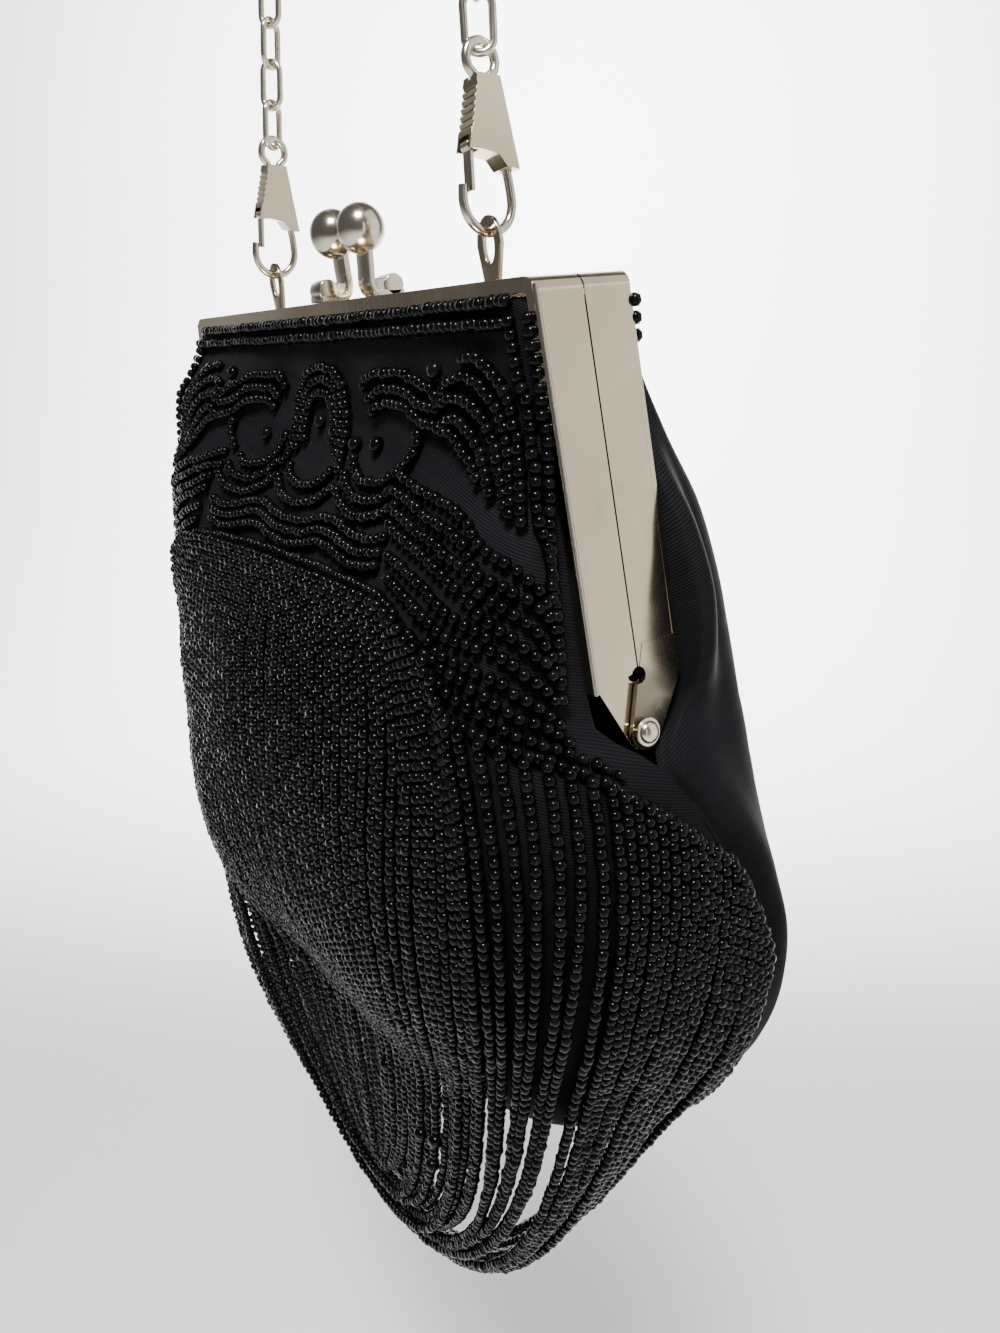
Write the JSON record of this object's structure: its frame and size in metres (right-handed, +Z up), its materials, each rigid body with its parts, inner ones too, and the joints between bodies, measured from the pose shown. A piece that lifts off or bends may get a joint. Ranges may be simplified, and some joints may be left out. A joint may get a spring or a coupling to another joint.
{
  "type": "beaded evening purse with a kiss-lock frame and chain",
  "caption": "Black satin evening purse on a splayed nickel kiss-lock frame, its front beaded and hung with swagged bead strings, carried by snap hooks and a cable chain.",
  "frame": {"origin": "the hang point, the middle of the chain at the top of its arch", "axes": "+Z up along the hanging purse, -Y towards its beaded front, +X to the right seen from the front"},
  "size_m": [0.2018, 0.0885, 0.3891],
  "materials": {
    "nickel": "polished nickel plate, slightly tarnished",
    "satin": "black satin",
    "beads": "opaque black glass seed beads, glossy"
  },
  "bodies": {
    "purse": {"frame_front": "nickel", "frame_back": "nickel", "clasp_front": "nickel", "clasp_back": "nickel", "hinge_rivet_left": "nickel", "hinge_rivet_right": "nickel", "lug_left": "nickel", "lug_right": "nickel", "hook_wire_left": "nickel", "hook_wire_right": "nickel", "hook_sleeve_left": "nickel", "hook_sleeve_right": "nickel", "chain": "nickel", "front_panel": "satin", "back_panel": "satin", "fringe": "beads"},
    "gate_left": {"hook_gate_left": "nickel"},
    "gate_right": {"hook_gate_right": "nickel"}
  },
  "joints": [
    {"name": "gate_left_hinge", "type": "hinge", "parent": "purse", "child": "gate_left", "pos_m": [-0.04582, -0.0035, -0.11341], "axis": [0.9954, 0, -0.0958], "range_deg": [0, 25], "stiffness_Nm_per_rad": 0.01},
    {"name": "gate_right_hinge", "type": "hinge", "parent": "purse", "child": "gate_right", "pos_m": [0.04582, -0.0035, -0.11341], "axis": [0.9954, 0, 0.0958], "range_deg": [0, 25], "stiffness_Nm_per_rad": 0.01}
  ]
}
